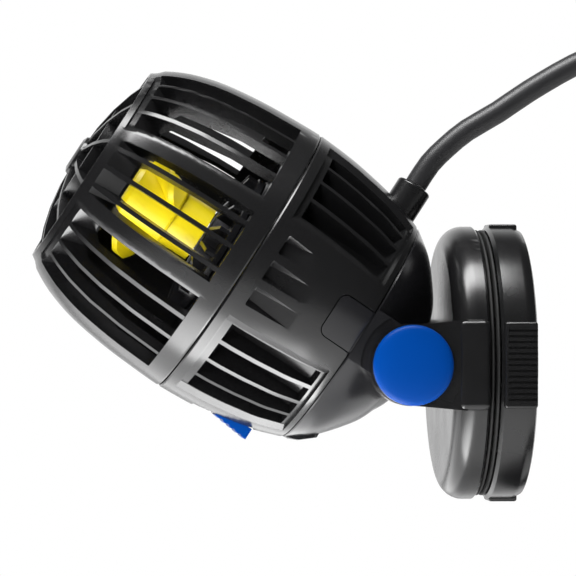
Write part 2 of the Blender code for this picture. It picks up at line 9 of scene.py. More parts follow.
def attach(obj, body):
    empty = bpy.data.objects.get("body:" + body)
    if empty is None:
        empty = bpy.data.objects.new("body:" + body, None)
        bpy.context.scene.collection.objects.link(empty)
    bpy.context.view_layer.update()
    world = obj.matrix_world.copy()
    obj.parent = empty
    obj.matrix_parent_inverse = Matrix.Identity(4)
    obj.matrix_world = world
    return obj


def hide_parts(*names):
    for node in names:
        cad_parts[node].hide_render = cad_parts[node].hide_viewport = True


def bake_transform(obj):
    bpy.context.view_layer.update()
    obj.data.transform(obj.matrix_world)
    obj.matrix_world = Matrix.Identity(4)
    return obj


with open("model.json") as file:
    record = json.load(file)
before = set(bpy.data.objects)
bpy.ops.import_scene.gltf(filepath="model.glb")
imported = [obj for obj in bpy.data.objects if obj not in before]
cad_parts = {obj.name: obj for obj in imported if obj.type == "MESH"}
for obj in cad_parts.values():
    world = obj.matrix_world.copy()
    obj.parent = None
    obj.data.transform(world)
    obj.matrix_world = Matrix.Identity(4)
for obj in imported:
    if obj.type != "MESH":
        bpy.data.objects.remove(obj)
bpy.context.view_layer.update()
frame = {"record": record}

MM = 0.001

# Places that the CAD model fixes, in millimetres
PITCH = 33.0
PIVOT_X = -23.5
RIM_AHEAD = 104.0
FLOOR_Z = -95.0
DISC_R = 39.0
CABLE_R = 3.25
WET_X = (-11.2, -1.6)
DRY_X = (1.6, 12.0)
ARM_Y = (36.5, 39.5)
ARM_HALF = 12.6
ARM_END_R = 11.2
GLAND_U = 81.0
COIL_CENTRE = (55.0, 0.0)
COIL_TOP = FLOOR_Z + 19.5
CABLE_ROUTE = [(-17.8, 0, 51.0), (-13.8, 0, 57.0), (-9.0, 0, 61.8), (-3.1, 0, 66.6),
               (5.9, 0, 71.9), (14.8, 0, 77.9), (27.8, 0, 85.4), (38.5, 0, 89.6), (49.5, -1, 90.2),
               (60, -4, 85.5), (68, -9, 76), (73.5, -14.5, 62), (76.5, -20, 44), (78, -25, 22),
               (78.5, -30, 0), (78, -34, -20), (75.5, -38, -38), (70.5, -40.5, -53),
               (62.5, -41.5, -64.5), (53, -41.6, -71.0)]

# Barrel outline: station behind the rim, outer radius
FRONT_OUTLINE = [(0.0, 30.8), (1.6, 31.9), (3.1, 33.5), (7.5, 35.9), (12.3, 37.8), (19.7, 39.8),
                 (31.0, 41.4), (42.8, 42.2), (49.6, 42.45), (50.0, 42.2)]
REAR_OUTLINE = [(50.4, 42.2), (50.8, 42.45), (60.2, 41.9), (67.3, 41.0), (77.0, 39.2),
                (87.2, 35.8), (87.6, 35.4)]
DOME_OUTLINE = [(87.9, 35.2), (88.3, 35.3), (95.5, 29.9), (102.7, 21.1), (105.5, 15.4),
                (107.5, 11.4), (109.4, 4.0), (109.8, 0.0)]

PUMP = Matrix.Translation((PIVOT_X * MM, 0, 0)) @ Matrix.Rotation(radians(PITCH - 90), 4, "Y")
WORLD = Matrix()
TO_X = Matrix.Rotation(pi / 2, 4, "Y")


# ---------------------------------------------------------------- camera, lights, floor

CAMERA_AZIMUTH = -5.3
CAMERA_DISTANCE = 1.17
FOCAL_MM = 256.0
AIM = Vector((-0.0546, 0.0, 0.0214))
SENSOR_MM = 36.0

# Light levels of the dark room and of the backdrop behind the object, and where one meets the other
ROOM = 0.07
BACKDROP = 1.2
BACKDROP_WAY = (-0.12, 0.98, -0.16)
EDGE_OF_ROOM = 0.45
EDGE_OF_BACKDROP = 0.93

FLOOR_R = 0.44
FLOOR_GAP = 0.0004
FLOOR_GREY = 0.86
UP = 1.0


def make_camera():
    data = bpy.data.cameras.new("camera")
    data.lens = FOCAL_MM
    data.sensor_width = SENSOR_MM
    data.dof.use_dof = False
    camera = bpy.data.objects.new("camera", data)
    bpy.context.scene.collection.objects.link(camera)
    angle = radians(CAMERA_AZIMUTH)
    camera.location = AIM + CAMERA_DISTANCE * Vector((sin(angle), -cos(angle), 0))
    camera.rotation_euler = (AIM - camera.location).to_track_quat("-Z", "Y").to_euler()
    bpy.context.scene.camera = camera
    bpy.context.scene.view_settings.view_transform = "Standard"


def make_world():
    """White backdrop to the eye; for light, a dark room with that backdrop behind the object."""
    world = bpy.data.worlds.new("studio")
    world.use_nodes = True
    bpy.context.scene.world = world
    nodes, links = world.node_tree.nodes, world.node_tree.links
    coord = nodes.new("ShaderNodeTexCoord")
    toward = nodes.new("ShaderNodeVectorMath")
    toward.operation = "DOT_PRODUCT"
    toward.inputs[1].default_value = Vector(BACKDROP_WAY).normalized()
    links.new(coord.outputs["Generated"], toward.inputs[0])
    ramp = nodes.new("ShaderNodeValToRGB")
    stops = ((EDGE_OF_ROOM, ROOM), (EDGE_OF_BACKDROP, BACKDROP))
    for element, (position, level) in zip(ramp.color_ramp.elements, stops):
        element.position = position
        element.color = (level, level, level, 1)
    ramp.color_ramp.interpolation = "EASE"
    links.new(toward.outputs["Value"], ramp.inputs[0])
    lit, seen = nodes["Background"], nodes.new("ShaderNodeBackground")
    mix = nodes.new("ShaderNodeMixShader")
    links.new(ramp.outputs["Color"], lit.inputs["Color"])
    seen.inputs["Color"].default_value = (1, 1, 1, 1)
    path = nodes.new("ShaderNodeLightPath")
    links.new(path.outputs["Is Camera Ray"], mix.inputs[0])
    links.new(lit.outputs[0], mix.inputs[1])
    links.new(seen.outputs[0], mix.inputs[2])
    links.new(mix.outputs[0], nodes["World Output"].inputs[0])


def area_light(name, where, size, power, aim, glossy=True, spread=180):
    """A rectangle of light; glossy says whether reflections show it, spread is its cone."""
    data = bpy.data.lights.new(name, "AREA")
    data.shape = "RECTANGLE"
    data.size, data.size_y = size
    data.energy = power
    data.spread = radians(spread)
    light = bpy.data.objects.new(name, data)
    bpy.context.scene.collection.objects.link(light)
    light.location = where
    light.visible_camera = False
    light.visible_glossy = glossy
    light.rotation_euler = (Vector(aim) - Vector(where)).to_track_quat("-Z", "Y").to_euler()


def make_lights():
    """Boxes at floor level for the belly's sheen, one above, and a fill that no reflection shows."""
    area_light("box_below", (-0.19, -0.08, -0.093), (0.32, 0.12), 0.8, (-0.19, -0.08, UP),
               spread=110)
    area_light("box_below_behind", (-0.19, 0.09, -0.093), (0.32, 0.22), 0.35, (-0.19, 0.09, UP))
    area_light("box_below_right", (0.07, 0.0, -0.093), (0.2, 0.3), 0.09, (0.07, 0.0, UP))
    area_light("box_above", (-0.115, -0.10, 0.40), (0.35, 0.16), 3.2, (-0.115, -0.05, 0))
    area_light("front_fill", (-0.45, -0.8, 0.35), (0.3, 0.3), 6.0, (-0.05, 0, 0.02), glossy=False)


def make_stage():
    """A plain pale round floor."""
    bm = bmesh.new()
    bmesh.ops.create_circle(bm, cap_ends=True, radius=FLOOR_R, segments=96)
    mesh = bpy.data.meshes.new("floor")
    bm.to_mesh(mesh)
    bm.free()
    floor = bpy.data.objects.new("floor", mesh)
    bpy.context.scene.collection.objects.link(floor)
    floor.location = (0, 0, FLOOR_Z * MM - FLOOR_GAP)
    mat = bpy.data.materials.new("floor")
    mat.use_nodes = True
    shader = mat.node_tree.nodes["Principled BSDF"]
    shader.inputs["Base Color"].default_value = (FLOOR_GREY, FLOOR_GREY, FLOOR_GREY, 1)
    shader.inputs["Roughness"].default_value = 0.7
    mesh.materials.append(mat)


# ---------------------------------------------------------------- materials

GRAIN_SCALE = 3150
DRIFT_SCALE = 70
BRUSH_SCALE = 900


def new_material(name, colour, roughness, metallic=0.0, specular=0.5):
    """A Principled material, with its nodes, links and shader."""
    mat = bpy.data.materials.new(name)
    mat.use_nodes = True
    shader = mat.node_tree.nodes["Principled BSDF"]
    shader.inputs["Base Color"].default_value = (*colour, 1)
    shader.inputs["Roughness"].default_value = roughness
    shader.inputs["Metallic"].default_value = metallic
    shader.inputs["Specular IOR Level"].default_value = specular
    return mat, mat.node_tree.nodes, mat.node_tree.links, shader


def remap(nodes, links, noise, shader, low, high):
    """Roughness between two values, led by a noise."""
    rough = nodes.new("ShaderNodeMapRange")
    rough.inputs["To Min"].default_value = low
    rough.inputs["To Max"].default_value = high
    links.new(noise.outputs["Fac"], rough.inputs["Value"])
    links.new(rough.outputs["Result"], shader.inputs["Roughness"])


def relief(nodes, links, noise, shader, strength, distance):
    """Bump from a noise."""
    bump = nodes.new("ShaderNodeBump")
    bump.inputs["Strength"].default_value = strength
    bump.inputs["Distance"].default_value = distance
    links.new(noise.outputs["Fac"], bump.inputs["Height"])
    links.new(bump.outputs["Normal"], shader.inputs["Normal"])


def object_noise(nodes, links, coord, scale, detail):
    noise = nodes.new("ShaderNodeTexNoise")
    noise.inputs["Scale"].default_value = scale
    noise.inputs["Detail"].default_value = detail
    links.new(coord.outputs["Object"], noise.inputs["Vector"])
    return noise


def moulded(name, colour, roughness, grain=0.06, spread=0.08, specular=0.5):
    """Moulded plastic: fine spark-eroded grain, slow drift of gloss and colour."""
    mat, nodes, links, shader = new_material(name, colour, roughness, 0.0, specular)
    coord = nodes.new("ShaderNodeTexCoord")
    fine = object_noise(nodes, links, coord, GRAIN_SCALE, 3)
    slow = object_noise(nodes, links, coord, DRIFT_SCALE, 4)
    remap(nodes, links, slow, shader, max(0.05, roughness - spread), roughness + spread)
    tint = nodes.new("ShaderNodeMix")
    tint.data_type = "RGBA"
    tint.inputs["A"].default_value = (*[c * 0.9 for c in colour], 1)
    tint.inputs["B"].default_value = (*[min(1, c * 1.1) for c in colour], 1)
    links.new(slow.outputs["Fac"], tint.inputs["Factor"])
    links.new(tint.outputs["Result"], shader.inputs["Base Color"])
    relief(nodes, links, fine, shader, grain, 0.0002)
    return mat


def brushed(name, colour, roughness):
    """Metal with a fine, uneven finish."""
    mat, nodes, links, shader = new_material(name, colour, roughness, 1.0)
    brush = object_noise(nodes, links, nodes.new("ShaderNodeTexCoord"), BRUSH_SCALE, 5)
    remap(nodes, links, brush, shader, roughness * 0.7, roughness * 1.4)
    relief(nodes, links, brush, shader, 0.08, 0.0001)
    return mat


def make_materials():
    return {
        "black_shell": moulded("black_shell", (0.006, 0.006, 0.0063), 0.25, 0.06),
        "gloss_black": moulded("gloss_black", (0.008, 0.008, 0.009), 0.2, 0.03, 0.04),
        "blue_plastic": moulded("blue_plastic", (0.0, 0.036, 0.205), 0.34, 0.03, 0.05, 0.08),
        "yellow_plastic": moulded("yellow_plastic", (0.90, 0.72, 0.008), 0.36, 0.04, 0.06),
        "black_rubber": moulded("black_rubber", (0.011, 0.011, 0.011), 0.72, 0.25, 0.1),
        "cable_jacket": moulded("cable_jacket", (0.013, 0.013, 0.014), 0.42, 0.12, 0.08),
        "ceramic": moulded("ceramic", (0.82, 0.81, 0.77), 0.25, 0.03, 0.05),
        "ferrite": brushed("ferrite", (0.07, 0.07, 0.075), 0.5),
        "steel": brushed("steel", (0.6, 0.6, 0.61), 0.3),
        "copper_wire": brushed("copper_wire", (0.72, 0.32, 0.14), 0.32),
        "green_board": moulded("green_board", (0.02, 0.16, 0.05), 0.42, 0.1),
    }


# ---------------------------------------------------------------- mesh tools

SAME_POINT = 0.0005
AROUND = 160
BEVEL_FROM = 30
SHARP_FROM = 38


def solid(bm):
    """A scratch object from a bmesh in millimetres."""
    mesh = bpy.data.meshes.new("work")
    bm.to_mesh(mesh)
    bm.free()
    obj = bpy.data.objects.new("work", mesh)
    bpy.context.scene.collection.objects.link(obj)
    return obj


def closed(bm):
    """A scratch object from a closed bmesh, with its faces turned outward."""
    bmesh.ops.recalc_face_normals(bm, faces=bm.faces)
    return solid(bm)


def remesh(obj):
    """Apply the modifiers and keep the object."""
    mesh = bpy.data.meshes.new_from_object(obj.evaluated_get(bpy.context.evaluated_depsgraph_get()))
    obj.modifiers.clear()
    obj.data = mesh


def combine(obj, tool, operation="DIFFERENCE"):
    """Boolean with a tool, which is used up."""
    mod = obj.modifiers.new("bool", "BOOLEAN")
    mod.operation = operation
    mod.object = tool
    remesh(obj)
    bpy.data.objects.remove(tool, do_unlink=True)


def revolve(profile, steps=120):
    """Turn (radius, height) points about local Z; an outline on the axis is closed by it."""
    bm = bmesh.new()
    on_axis = profile[0][0] == 0 and profile[-1][0] == 0
    verts = [bm.verts.new((r, 0, z)) for r, z in profile]
    pairs = list(zip(verts, verts[1:]))
    if not on_axis:
        pairs.append((verts[-1], verts[0]))
    edges = [bm.edges.new(pair) for pair in pairs]
    bmesh.ops.spin(bm, geom=verts + edges, cent=(0, 0, 0), axis=(0, 0, 1), angle=2 * pi,
                   steps=steps, use_merge=True)
    bmesh.ops.remove_doubles(bm, verts=bm.verts, dist=SAME_POINT)
    return closed(bm)


def hexahedron(bm, corner):
    """A cube whose eight corners are given by a function of their signs."""
    made = bmesh.ops.create_cube(bm, size=2)["verts"]
    for v in made:
        v.co = corner(round(v.co.x), round(v.co.y), round(v.co.z))
    return made


def box(low, high, bevel=0.0, segments=4):
    bm = bmesh.new()
    hexahedron(bm, lambda x, y, z: Vector(((low, high)[x > 0][0], (low, high)[y > 0][1],
                                           (low, high)[z > 0][2])))
    if bevel:
        bmesh.ops.bevel(bm, geom=list(bm.edges), offset=bevel, segments=segments, profile=0.5,
                        affect="EDGES")
    return closed(bm)


def turn(bm, verts, degrees):
    """Turn vertices about local Z."""
    bmesh.ops.rotate(bm, matrix=Matrix.Rotation(radians(degrees), 3, "Z"), verts=verts)


def cross_cylinder(radius, ends, steps=64, at=(0, 0, 0)):
    """A cylinder along Y."""
    low, high = sorted(ends)
    obj = revolve([(0, high), (radius, high), (radius, low), (0, low)], steps)
    obj.data.transform(Matrix.Translation(at) @ Matrix.Rotation(-pi / 2, 4, "X"))
    return obj


def near_dir(angle):
    return Vector((sin(radians(angle)), -cos(radians(angle)), 0))


def z_of(u):
    return RIM_AHEAD - u


def outline_radius(outline, u):
    """Radius of an outline at a station."""
    for (u0, r0), (u1, r1) in zip(outline, outline[1:]):
        if u0 <= u <= u1:
            return r0 + (r1 - r0) * (u - u0) / (u1 - u0)
    return outline[-1][1]


def spline(points, count_of):
    """Points on a soft curve through the given ones; count_of(i, length) is the count in span i."""
    pts = [Vector(p) for p in points]
    pts = [pts[0] * 2 - pts[1]] + pts + [pts[-1] * 2 - pts[-2]]
    out = []
    for i, (a, b, c, d) in enumerate(zip(pts, pts[1:], pts[2:], pts[3:])):
        count = count_of(i, (c - b).length)
        for k in range(count):
            t = k / count
            out.append(0.5 * (2 * b + (c - a) * t + (2 * a - 5 * b + 4 * c - d) * t * t
                              + (3 * b - a - 3 * c + d) * t ** 3))
    return out + [pts[-2]]


def smooth_outline(outline, step, straight=0):
    """More points along an outline, on a soft curve; its first spans can stay straight."""
    return [tuple(p) for p in spline(outline, lambda i, length: 1 if i < straight
                                     else max(1, int(length / step)))]


def finish_piece(obj, name, body, mat, nodes, matrix=PUMP, bevel=0.0, segments=2):
    """Bevel, smooth, place and name; then the body it rides on and the nodes it stands for."""
    if bevel:
        mod = obj.modifiers.new("bevel", "BEVEL")
        mod.width = bevel
        mod.segments = segments
        mod.limit_method = "ANGLE"
        mod.angle_limit = radians(BEVEL_FROM)
        mod.miter_outer = "MITER_ARC"
        mod.use_clamp_overlap = True
        remesh(obj)
    mesh = obj.data
    mesh.transform(matrix @ Matrix.Scale(MM, 4))
    mesh.materials.clear()
    mesh.materials.append(MATERIALS[mat])
    mesh.shade_smooth()
    mesh.set_sharp_from_angle(angle=radians(SHARP_FROM))
    obj.name = mesh.name = name
    weight = obj.modifiers.new("normals", "WEIGHTED_NORMAL")
    weight.keep_sharp = True
    if body:
        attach(obj, body)
    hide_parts(*([nodes] if isinstance(nodes, str) else nodes))
    return obj


# ---------------------------------------------------------------- cord

# The coil: radius and row of each turn, and how late in a turn the cord moves to the next place
COIL_PLACES = [(41.5, 0), (41.5, 1), (41.5, 2), (35.0, 2), (35.0, 1), (35.0, 0), (28.5, 0),
               (28.5, 0)]
COIL_TURNS = 6.9
COIL_START = 240.0
CHANGE_FROM = 0.75
END_R = 33.0
END_ARC = (214, 125, -12)
LIFT = 0.3
CORD_STEP = 4.0


def route_line(points):
    """Even points on a soft curve through a route."""
    return spline(points, lambda i, length: max(2, int(length / CORD_STEP)))


def coil_points(per_turn=30):
    """Turns side by side: outer column down, middle column up, inner column on top."""
    out = []
    cx, cy = COIL_CENTRE
    for i in range(int(COIL_TURNS * per_turn) + 1):
        t = i / per_turn
        k, f = int(t), t - int(t)
        w = min(1, max(0, (f - CHANGE_FROM) / (1 - CHANGE_FROM)))
        w = w * w * (3 - 2 * w)
        (r0, row0), (r1, row1) = COIL_PLACES[k], COIL_PLACES[k + 1]
        radius, row = r0 + (r1 - r0) * w, row0 + (row1 - row0) * w
        angle = radians(COIL_START - 360 * t)
        out.append(Vector((cx + radius * cos(angle), cy + radius * sin(angle),
                           COIL_TOP - CABLE_R - 2 * CABLE_R * row)))
    return out


def end_arc():
    """The cord's last stretch, lying on the coil."""
    cx, cy = COIL_CENTRE
    return [Vector((cx + END_R * cos(radians(a)), cy + END_R * sin(radians(a)),
                    COIL_TOP + LIFT + CABLE_R)) for a in range(*END_ARC)]


def cord_line():
    """The whole cord: the free arch, the coil, and the climb to the stretch on top."""
    cx, cy = COIL_CENTRE
    coil = coil_points()
    rise = []
    for k, a in enumerate((252, 232)):
        radius = 30.5 + 1.2 * k
        rise.append(Vector((cx + radius * cos(radians(a)), cy + radius * sin(radians(a)),
                            COIL_TOP - CABLE_R + (6.8 * (0.4 + 0.3 * k)) - 1.0)))
    joined = route_line(CABLE_ROUTE + [coil[0]])[:-1] + coil
    return joined + route_line([joined[-1]] + rise + end_arc())[1:]


def sweep(line, radius, sides=20):
    """A tube mesh along a line with parallel-transported rings and closed ends."""
    bm = bmesh.new()
    rings = []
    tangent = (line[1] - line[0]).normalized()
    side = tangent.orthogonal().normalized()
    for i, point in enumerate(line):
        ahead = (line[min(i + 1, len(line) - 1)] - line[max(i - 1, 0)]).normalized()
        side = (side - ahead * side.dot(ahead)).normalized()
        up = ahead.cross(side)
        rings.append([bm.verts.new(point + radius * (side * cos(2 * pi * k / sides)
                                                     + up * sin(2 * pi * k / sides)))
                      for k in range(sides)])
    for a, b in zip(rings, rings[1:]):
        for k in range(sides):
            bm.faces.new((a[k], a[(k + 1) % sides], b[(k + 1) % sides], b[k]))
    bm.faces.new(rings[0][::-1])
    bm.faces.new(rings[-1])
    return closed(bm)


def make_cord():
    """One tube from the gland to the plug."""
    line = cord_line()
    length = sum((b - a).length for a, b in zip(line, line[1:])) * MM
    cord = finish_piece(sweep(line, CABLE_R), "lead", None, "cable_jacket",
                        ("cable_lead", "cable_coil", "cable_end"), WORLD)
    cord.modifiers.clear()
    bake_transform(cord)


# ---------------------------------------------------------------- barrel cages

# Bars between the slots: angle from the near or upper centre line, half the bar's thickness
FIN = 0.65
FRONT_MID = [(-20.0, 3.0), (-10.4, FIN), (0.0, FIN), (10.4, FIN), (20.0, 3.0)]
FRONT_SIDE = [(20.0, 2.4), (34.5, FIN), (46.3, FIN), (58.3, FIN), (69.5, 0.0)]
REAR_SIDE = [(25.5, 0.0), (35.0, FIN), (46.0, FIN), (57.0, FIN), (67.5, 0.0)]

# Slot ends: station, radius it holds at, slope
FRONT_ENDS = ((2.4, 33.3, 2.2), (44.0, 40, 0.0))
REAR_ENDS = ((56.0, 40, 0.2), (84.6, 36.0, -0.55))
FRONT_WALL = 3.7
LEAD_IN = [(0.0, 29.6), (11.0, 29.6), (13.0, 33.6)]
FRONT_RECESS = 0.75
REAR_RECESS = 1.3
REAR_BORE = 32.2
GROOVE_FLOOR = 33.0
PATCH_COLUMNS = 24
PATCH_ROWS = 16
BAFFLE_OUTER = -3.4
VANES = 12
POCKET_U = 55.5
POCKET_FLOOR = 39.9
POCKETS = ((11.4, 9.0), (0.0, 13.0), (-11.4, 14.5))
LATCH_U = (68.0, 79.0)
SPRING_U = (67.6, 61.6)
SPRING_X = -39.9
BOLT_HOLE_R = 2.6
CHEEK_R = 36.4


def all_panels(panel):
    """One panel's edges, mirrored up and down and onto the far side."""
    flips = (1,) if panel[0][0] < 0 else (1, -1)
    for flip in flips:
        for far in (0, 180):
            yield sorted((flip * angle + far, half) for angle, half in panel)


def slots(panels, front, rear, radii=(26, 52)):
    """Gaps between radial bars of even thickness."""
    bm = bmesh.new()
    for panel in panels:
        for edges in all_panels(panel):
            for (a0, half0), (a1, half1) in zip(edges, edges[1:]):
                def corner(x, y, z):
                    angle, half, side = (a0, half0, 1) if y < 0 else (a1, half1, -1)
                    radius = radii[x > 0]
                    u, at, slope = front if z > 0 else rear
                    return (near_dir(angle) * radius + near_dir(angle + 90) * half * side
                            + Vector((0, 0, z_of(u + slope * (at - radius)))))
                hexahedron(bm, corner)
    return closed(bm)


def skin_patch(outline, depth, a0, a1, u0, u1, flare=0.0, out=3.0):
    """A curved slab from depth below the outline to outside it; flare leans its long sides."""
    bm = bmesh.new()
    count, rows = PATCH_COLUMNS, PATCH_ROWS
    grids = []
    for lift in (-depth, out):
        grid = []
        for j in range(rows + 1):
            u = u0 + (u1 - u0) * j / rows
            radius = outline_radius(outline, u) + lift
            lean = flare if lift > 0 else 0.0
            start, end = a0 - lean, a1 + lean
            grid.append([bm.verts.new(near_dir(start + (end - start) * i / count) * radius
                                      + Vector((0, 0, z_of(u)))) for i in range(count + 1)])
        grids.append(grid)
    inner, outer = grids
    for j in range(rows):
        for i in range(count):
            bm.faces.new((inner[j][i], inner[j][i + 1], inner[j + 1][i + 1], inner[j + 1][i]))
            bm.faces.new((outer[j][i], outer[j + 1][i], outer[j + 1][i + 1], outer[j][i + 1]))
    for i in range(count):
        bm.faces.new((inner[0][i], outer[0][i], outer[0][i + 1], inner[0][i + 1]))
        bm.faces.new((inner[rows][i], inner[rows][i + 1], outer[rows][i + 1], outer[rows][i]))
    for j in range(rows):
        bm.faces.new((inner[j][0], inner[j + 1][0], outer[j + 1][0], outer[j][0]))
        bm.faces.new((inner[j][count], outer[j][count], outer[j + 1][count], inner[j + 1][count]))
    return closed(bm)


def cage_shell(outline):
    """Turned wall under an outline, with the lead-in bore at its front."""
    fine = smooth_outline(outline, 2.5)
    inner = [(r - FRONT_WALL, z_of(u)) for u, r in reversed(outline[::2] + [outline[-1]])
             if u > LEAD_IN[-1][0]]
    return revolve([(r, z_of(u)) for u, r in fine] + inner
                   + [(r, z_of(u)) for u, r in reversed(LEAD_IN)], AROUND)


def panel_bounds(panel, inset):
    """Mirrored panels' angular bounds, pulled in from the spines."""
    for edges in all_panels(panel):
        yield edges[0][0] + inset, edges[-1][0] - inset


def make_front_cage():
    """Front half: recessed side panels, slots, and strips behind the far slots against the light."""
    cage = cage_shell(FRONT_OUTLINE)
    for a0, a1 in panel_bounds(FRONT_SIDE, 4.2):
        combine(cage, skin_patch(FRONT_OUTLINE, FRONT_RECESS, a0, a1, 1.6, 44.0, flare=9.0))
    combine(cage, slots([FRONT_MID, FRONT_SIDE], *FRONT_ENDS))
    for side, start in ((1, 12.5), (-1, 38.0)):
        combine(cage, skin_patch(FRONT_OUTLINE, 4.5, *sorted((180 + 20 * side, 180 + 69.5 * side)),
                                 start, 46.0, out=BAFFLE_OUTER), "UNION")
    finish_piece(cage, "front_cage_fine", "front_cage", "black_shell", "front_cage", bevel=0.3)


def make_front_guard():
    """Outlet grille: outer ring, middle ring, domed hub and deep vanes."""
    guard = revolve([(29.2, z_of(0.2)), (29.2, z_of(4.0)), (27.6, z_of(4.0)), (27.6, z_of(0.2))])
    parts = [revolve([(0, z_of(-5.7)), (4.6, z_of(-5.65)), (5.8, z_of(-5.1)), (6.3, z_of(-4.0)),
                      (6.3, z_of(2.9)), (0, z_of(2.9))], 64),
             revolve([(17.5, z_of(-2.6)), (17.5, z_of(1.4)), (16.4, z_of(1.4)),
                      (16.4, z_of(-2.7))])]
    fronts = [(3.0, -4.6), (10.0, -4.2), (17.0, -3.1), (23.0, -1.5), (28.6, 0.7)]
    for i in range(VANES):
        bm = bmesh.new()
        rows = [[bm.verts.new((r, side, z_of(u))) for side in (-0.6, 0.6) for u in (front, 1.6)]
                for r, front in fronts]
        for a, b in zip(rows, rows[1:]):
            for p, q in ((0, 1), (1, 3), (3, 2), (2, 0)):
                bm.faces.new((a[p], a[q], b[q], b[p]))
        bm.faces.new((rows[0][0], rows[0][2], rows[0][3], rows[0][1]))
        bm.faces.new((rows[-1][0], rows[-1][1], rows[-1][3], rows[-1][2]))
        turn(bm, bm.verts, 360 / VANES * i + 15)
        parts.append(closed(bm))
    for part in parts:
        combine(guard, part, "UNION")
    finish_piece(guard, "front_guard_fine", "front_cage", "black_shell", "front_guard", bevel=0.25)


def make_shroud():
    ring = revolve([(28.9, z_of(4.6)), (28.9, z_of(5.6)), (27.4, z_of(8.0)), (24.6, z_of(11.5)),
                    (23.3, z_of(11.5)), (26.0, z_of(7.6)), (27.2, z_of(4.8)), (27.6, z_of(4.6))])
    finish_piece(ring, "shroud_ring_fine", "front_cage", "black_shell", "shroud_ring", bevel=0.2)


def pocket(far, angle, length):
    """Blind ramp with leaning sides: deepest at its front edge, running out to the skin behind."""
    bm = bmesh.new()

    def corner(x, y, z):
        u = POCKET_U if z > 0 else POCKET_U + length
        floor = POCKET_FLOOR if z > 0 else outline_radius(REAR_OUTLINE, u) + 0.2
        half = 1.5 if x < 0 and z > 0 else 2.6 if x < 0 else 6.7
        return Vector((floor if x < 0 else 47.0, half * y, z_of(u)))
    hexahedron(bm, corner)
    upright = [e for e in bm.edges if abs(e.verts[0].co.x - e.verts[1].co.x) > 2]
    bmesh.ops.bevel(bm, geom=upright, offset=0.5, segments=3, profile=0.5, affect="EDGES")
    spin = 180 - angle if far else angle
    turn(bm, bm.verts, spin - 90)
    return closed(bm)


def tongue_cutter(side, half, u_front, u_rear, low, high, corner):
    """Rounded-square prism standing across the pump."""
    bm = bmesh.new()
    hexahedron(bm, lambda x, y, z: Vector((half * x, side * (high if y * side > 0 else low),
                                           z_of(u_front) if z > 0 else z_of(u_rear))))
    across = [e for e in bm.edges if abs(e.verts[0].co.y - e.verts[1].co.y) > 1
              and e.verts[0].co.z > z_of((u_front + u_rear) / 2)]
    bmesh.ops.bevel(bm, geom=across, offset=corner, segments=8, profile=0.5, affect="EDGES")
    return closed(bm)


def make_rear_cage():
    """The slots are deep grooves: the motor chamber's wall closes them inside."""
    cage = revolve([(radius, z_of(u)) for u, radius in smooth_outline(REAR_OUTLINE, 2.5)]
                   + [(REAR_BORE, z_of(87.6)), (REAR_BORE, z_of(50.4))], AROUND)
    for a0, a1 in panel_bounds(REAR_SIDE, -0.6):
        combine(cage, skin_patch(REAR_OUTLINE, REAR_RECESS, a0, a1, 53.6, 86.0, flare=8.0))
    combine(cage, slots([REAR_SIDE], *REAR_ENDS, (GROOVE_FLOOR, 52)))
    for far in (False, True):
        for angle, length in POCKETS:
            combine(cage, pocket(far, angle, length))
    for side in (-1, 1):
        combine(cage, tongue_cutter(side, 6.8, 76.7, 92.0, 30, 50, 2.6))
    hole = revolve([(0, 50), (5.45, 50), (5.45, 30), (0, 30)], 64)
    hole.data.transform(Matrix.Translation((0, 0, z_of(GLAND_U))) @ TO_X)
    combine(cage, hole)
    combine(cage, box((-46, -6.3, z_of(80.0)), (-38.0, 6.3, z_of(61.0))))
    finish_piece(cage, "rear_cage_fine", "pump", "black_shell", "rear_cage", bevel=0.35)


# ---------------------------------------------------------------- rear shell, gland, latch

def make_rear_shell():
    """Dome with the pivot cheeks, the two tongues, the bolt holes and the stop lug."""
    outer = [(max(0.0, r), z_of(u)) for u, r in smooth_outline(DOME_OUTLINE, 1.2, straight=1)]
    outer[-1] = (0, outer[-1][1])
    inner = [(0, z_of(107.2)), (9.5, z_of(105.4)), (18.8, z_of(101.0)), (24.4, z_of(95.4)),
             (24.4, z_of(79.0)), (26.6, z_of(79.0)), (26.6, z_of(87.9))]
    shell = revolve(inner + outer, AROUND)
    for side in (-1, 1):
        low, high = sorted((side * 26.0, side * 36.6))
        cheek = box((-8.0, low, z_of(102.0)), (8.0, high, z_of(88.0)), 0.8, 3)
        combine(cheek, cross_cylinder(11.4, (low, high)), "UNION")
        round_off = revolve([(60, z_of(80)), (60, z_of(110)), (CHEEK_R, z_of(110)),
                             (CHEEK_R, z_of(92)), (35.6, z_of(87.6)), (35.4, z_of(80))], AROUND)
        combine(cheek, round_off)
        combine(cheek, cross_cylinder(14.2, (side * 34.9, side * 44), steps=96))
        combine(shell, cheek, "UNION")
        tab = tongue_cutter(side, 6.5, 77.0, 90.0, 33, 45, 2.3)
        combine(tab, cage_follow(), "INTERSECT")
        combine(shell, tab, "UNION")
        combine(shell, cross_cylinder(BOLT_HOLE_R, (side * 25.0, side * 40), steps=32))
    lug = box((-35.2, -5, z_of(96.0)), (-26.0, 5, z_of(88.3)), 0.8)
    combine(lug, outline_body([(88.0, 34.9), (92.0, 33.2), (96.5, 29.4)], 0.9), "INTERSECT")
    combine(shell, lug, "UNION")
    finish_piece(shell, "rear_shell_fine", "pump", "gloss_black", "rear_shell", bevel=0.3)


def cage_follow():
    """Solid whose skin is the rear cage's own outline."""
    return outline_body([(u, r) for u, r in REAR_OUTLINE if u > 60] + [(91.0, 34.6)], 0.0)


def outline_body(outline, lift):
    """Solid turned from an outline raised by lift."""
    profile = ([(0, z_of(outline[0][0]))] + [(r + lift, z_of(u)) for u, r in outline]
               + [(0, z_of(outline[-1][0]))])
    return revolve(profile, AROUND)


